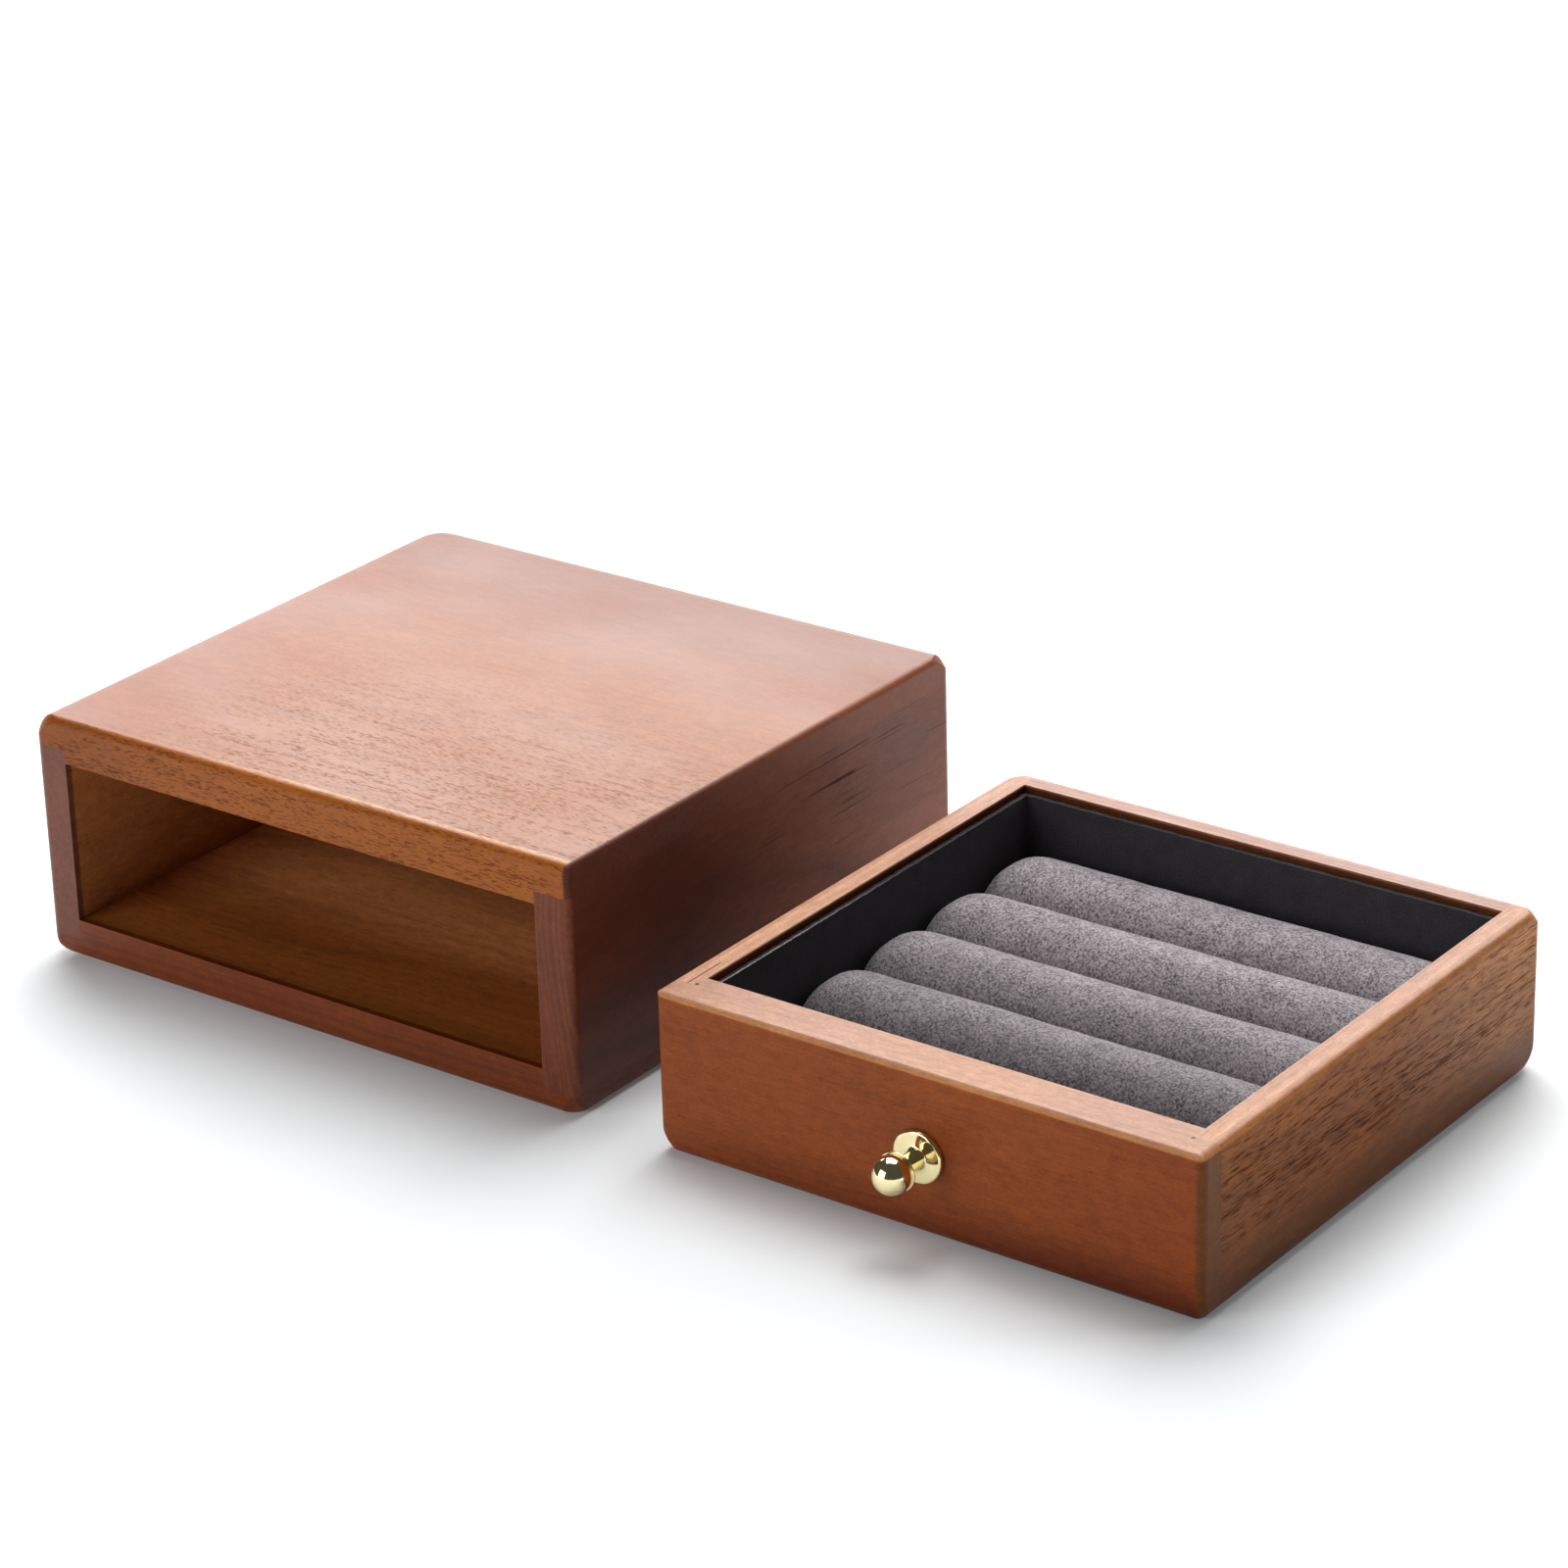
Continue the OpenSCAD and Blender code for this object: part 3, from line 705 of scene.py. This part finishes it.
# The neck, which flares towards the lip
knob_outline += arc((NECK_RADIUS + NECK_ROUND, FLANGE_THICK + 0.65 * MM), NECK_ROUND, 180, 270, 5)
knob_outline += [
    (NECK_RADIUS, lip_reach - 1.6 * MM),
    (NECK_RADIUS + 0.35 * MM, lip_reach - 0.9 * MM),
    (NECK_RADIUS + 1.0 * MM, lip_reach - 0.45 * MM),
    (LIP_RADIUS - 0.3 * MM, lip_reach - 0.25 * MM),
]
# The lip, and the ball that stands in it
knob_outline += arc((LIP_RADIUS - LIP_ROUND, lip_reach), LIP_ROUND, 150, 20, 6)
knob_outline += [(LIP_RADIUS - 0.60 * MM, lip_reach + 0.22 * MM)]
ball_start = 180 - math.degrees(math.asin(BALL_FOOT / BALL_RADIUS))
knob_outline += arc((0.0, ball_reach), BALL_RADIUS, ball_start, 1, 40)

knob = spin("knob_turned", knob_outline, knob_axis)
knob.data.materials.append(metal("knob_brass_polish", (0.95, 0.83, 0.47), 0.09, 0.000002))
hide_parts("knob")
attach(knob, "drawer")


# ---------------------------------------------------------------------------------------------
# Ring rolls
# Strips of foam with grey suede cloth glued round them. They are pressed side by side into the
# tray, so they meet in tight creases, and their ends are rounded like pillows.
ROLL_COUNT = 5
# How far in from a roll's end its slope begins, and how far its crown drops at the end
ROLL_END, ROLL_DROP = 11.0 * MM, 8.5 * MM
# Rounding of its lower edges
ROLL_CORNER = 3.2 * MM
# How far each roll's cloth swells into the narrow gap to its neighbour
TOUCH = 0.13 * MM
# The cloth is flat at the foot and lies unevenly from this height above it
FOOT_HEIGHT = 6 * MM
# Points round a roll, along it and on each sloping end, and the rings that close an end
AROUND, ALONG, END_STEPS, CAP_RINGS = 72, 110, 12, 5
# Steps in each rounded corner of a roll's section
ARC_STEPS = 12


def suede(name, dark, light, depth, sheen, grain=0.42, across=()):
    """Short-napped suede cloth: fine light and dark tufts, and a soft sheen at grazing angles.

    depth is the nap's height in metres and grain a tuft's width in millimetres. across is the place
    along Y where the cloth is darkest, the place where it has its full tone, and the share of that
    tone at the darkest place.
    """
    material, tree, output = new_material(name)
    place = object_place(tree)
    tufts = speckle(tree, place, 1000 / grain, 3.0, 0.65)
    clumps = speckle(tree, place, 260, 2.0)
    brushed = speckle(tree, place, 30, 1.0)
    nap = plus(tree, times(tree, tufts, 0.85), times(tree, clumps, 0.15))
    middle = tuple((d + l) / 2 for d, l in zip(dark, light))
    colour = ramp(tree, nap, [(0.36, dark), (0.50, middle), (0.64, light)])
    stroke = ramp(tree, brushed, [(0.35, (0.93, 0.93, 0.94)), (0.65, WHITE)])
    colour = blend_colour(tree, 1.0, colour, stroke, "MULTIPLY")
    if across:
        start, end, share = across
        y = node(tree, "ShaderNodeSeparateXYZ", {0: place}).outputs["Y"]
        colour = blend_colour(tree, 1.0, colour, remap(tree, y, start, end, share, 1.0), "MULTIPLY")
    coat(tree, output, {
        "Base Color": colour,
        "Roughness": 0.95,
        "Normal": relief(tree, nap, depth, strength=0.9),
        "Specular IOR Level": 0.1,
        "Sheen Weight": sheen,
        "Sheen Roughness": 0.45,
    })
    return material


def rounded_section(half, low, high, corner, crown):
    """Points round a section in Y and Z, from its middle at the foot: soft corners, round crown."""
    arcs = [
        (half - corner, low + corner, corner, -90, 0),
        (half - crown, high - crown, crown, 0, 90),
        (-half + crown, high - crown, crown, 90, 180),
        (-half + corner, low + corner, corner, 180, 270),
    ]
    path = [(0.0, low)]
    for y, z, radius, start, end in arcs:
        for i in range(ARC_STEPS + 1):
            angle = math.radians(start + (end - start) * i / ARC_STEPS)
            path.append((y + radius * math.cos(angle), z + radius * math.sin(angle)))
    path.append((0.0, low))
    lengths = [0.0]
    for a, b in zip(path, path[1:]):
        lengths.append(lengths[-1] + math.dist(a, b))
    points = []
    k = 0
    for i in range(AROUND):
        goal = lengths[-1] * i / AROUND
        while lengths[k + 1] < goal:
            k += 1
        part = (goal - lengths[k]) / max(lengths[k + 1] - lengths[k], 1e-9)
        points.append(tuple(a + (b - a) * part for a, b in zip(path[k], path[k + 1])))
    return points


def roll_stations(low, high):
    """The places along a roll where it gets a ring, and how far its crown drops there."""
    steps = [ROLL_END * (1 - math.cos(math.pi / 2 * i / END_STEPS)) for i in range(END_STEPS + 1)]
    drops = [ROLL_DROP * (1 - math.sqrt(max(0.0, 1 - (1 - out / ROLL_END) ** 2))) for out in steps]
    span = high.x - low.x - 2 * ROLL_END
    stations = [(low.x + out, drop) for out, drop in zip(steps, drops)]
    stations += [(low.x + ROLL_END + span * i / ALONG, 0.0) for i in range(1, ALONG)]
    stations += [(high.x - out, drop) for out, drop in zip(reversed(steps), reversed(drops))]
    return stations


def uneven(x, y, seed):
    """How far the cloth over a point stands above or below a true roll."""
    slow = 0.22 * MM * noise.noise(Vector((x * 45, y * 40, seed)))
    fine = 0.12 * MM * noise.noise(Vector((x * 160, y * 160, seed + 7)))
    return slow + fine - 0.25 * MM


def close_end(shape, ring):
    """Closes a roll's end with smaller and smaller rings and a tip."""
    centre = sum((v.co for v in ring), Vector()) / AROUND
    outer = ring
    for k in range(1, CAP_RINGS + 1):
        inner = [shape.verts.new(v.co.lerp(centre, k / (CAP_RINGS + 1))) for v in ring]
        bridge(shape, outer, inner)
        outer = inner
    tip = shape.verts.new(centre)
    for i in range(AROUND):
        shape.faces.new((outer[i], outer[(i + 1) % AROUND], tip))


def roll_mesh(name, low, high, seed):
    """A closed roll between two corners, with an uneven crown and ends that slope down."""
    middle_y = (low.y + high.y) / 2
    half = (high.y - low.y) / 2
    crown = min(half, (high.z - low.z) / 2) - 0.2 * MM
    shape = bmesh.new()
    rings = []
    for x, drop in roll_stations(low, high):
        # The ends are narrower and less round than the middle
        narrow = 0.3 * drop
        rounding = crown - narrow - 0.15 * drop
        ring = []
        for y, z in rounded_section(half - narrow, low.z, high.z - drop, ROLL_CORNER, rounding):
            free = min(1.0, max(0.0, (z - low.z) / FOOT_HEIGHT))
            ring.append(shape.verts.new((x, middle_y + y, z + uneven(x, y, seed) * free)))
        rings.append(ring)
    for near, far in zip(rings, rings[1:]):
        bridge(shape, near, far)
    for ring in (rings[0], rings[-1]):
        close_end(shape, ring)
    for face in shape.faces:
        face.smooth = True
    return finished_mesh(name, shape)


tray_low, tray_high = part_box("tray_base")
# The rolls' cloth is painted darker towards the front of the tray: painted shade
roll_cloth = suede(
    "roll_suede_cloth", dark=(0.09, 0.08, 0.083), light=(0.60, 0.535, 0.558), depth=0.00016,
    sheen=0.25, grain=0.55, across=(tray_low.y, tray_high.y, 0.50))
for i in range(1, ROLL_COUNT + 1):
    roll_low, roll_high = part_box(f"roll_cover_{i}")
    roll_low.y -= TOUCH
    roll_high.y += TOUCH
    roll = link(f"ring_roll_{i}", roll_mesh(f"ring_roll_{i}", roll_low, roll_high, 10.0 * i))
    roll.data.materials.append(roll_cloth)
    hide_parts(f"roll_cover_{i}", f"roll_foam_{i}")
    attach(roll, "drawer")


# ---------------------------------------------------------------------------------------------
# Liner
# Four strips of card with near-black suede cloth glued on, standing against the drawer's boards.
# Their cut top edges show a thin pale line of fibres.
# The side of the tray that each strip stands on, and the way its cloth faces
LINERS = {"front": (0, 1, 0), "rear": (0, -1, 0), "left": (1, 0, 0), "right": (-1, 0, 0)}
# Steps along a strip
COLUMNS = 160
# A strip's outline: shares of its thickness, from the card's back to the cloth, and of its height
STRIP_OUTLINE = (
    (1, 0.0), (1, 0.35), (1, 0.7), (1, 0.94), (1, 1.0), (0.62, 1.0), (0.0, 1.0), (0.0, 0.0))
# The side of that outline where the cloth's cut edge shows
CUT_EDGE = 4
# How ragged the top edge is, and how much it stands below its full height
RAGGED, TRIMMED = 0.16 * MM, 0.12 * MM


def liner_mesh(name, low, high, inward, seed):
    """A strip of covered card whose cloth faces inward, with a slightly ragged top edge."""
    along = 0 if abs(inward.y) > 0.5 else 1
    across = 1 - along
    back, cloth = (low[across], high[across]) if inward[across] > 0 else (high[across], low[across])
    shape = bmesh.new()
    rows = []
    for i in range(COLUMNS + 1):
        share = i / COLUMNS
        row = []
        for k, (depth, height) in enumerate(STRIP_OUTLINE):
            at_top = height == 1.0
            ragged = RAGGED * noise.noise(Vector((share * 70, seed, k * 0.3))) if at_top else 0.0
            trimmed = TRIMMED if at_top else 0.0
            place = Vector(low)
            place[along] = low[along] + (high[along] - low[along]) * share
            place[across] = back + (cloth - back) * depth
            place.z = low.z + (high.z - low.z) * height + ragged - trimmed
            row.append(shape.verts.new(place))
        rows.append(row)
    for near, far in zip(rows, rows[1:]):
        bridge(shape, near, far)[CUT_EDGE].material_index = 1
    shape.faces.new(rows[0])
    shape.faces.new(list(reversed(rows[-1])))
    return finished_mesh(name, shape)


# The cloth is painted darker everywhere but near the back of the tray, so the rear strip is lightest:
# painted shade
liner_cloth = suede(
    "liner_suede_cloth", dark=(0.030, 0.028, 0.032), light=(0.081, 0.074, 0.083), depth=0.00005,
    sheen=0.05, grain=0.30, across=(tray_high.y - 12 * MM, tray_high.y - 3 * MM, 0.64))
raw_edge = suede(
    "liner_raw_edge", dark=(0.06, 0.05, 0.05), light=(0.40, 0.35, 0.33), depth=0.00010,
    sheen=0.1, grain=0.40, across=(tray_high.y - 50 * MM, tray_low.y + 25 * MM, 0.25))
for number, (side, inward) in enumerate(LINERS.items()):
    liner_low, liner_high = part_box(f"liner_{side}")
    strip = liner_mesh(f"liner_strip_{side}", liner_low, liner_high, Vector(inward), number * 9.0)
    liner = link(f"liner_strip_{side}", strip)
    liner.data.materials.append(liner_cloth)
    liner.data.materials.append(raw_edge)
    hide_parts(f"liner_{side}")
    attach(liner, "drawer")


# ---------------------------------------------------------------------------------------------
# Tray base
# A sheet of card under the rolls, covered with black suede cloth. Little of it shows, in the gaps
# at the ends of the rolls.
dress("tray_base", suede(
    "tray_base_cloth", dark=(0.010, 0.010, 0.011), light=(0.03, 0.03, 0.032), depth=0.00005, sheen=0.0))
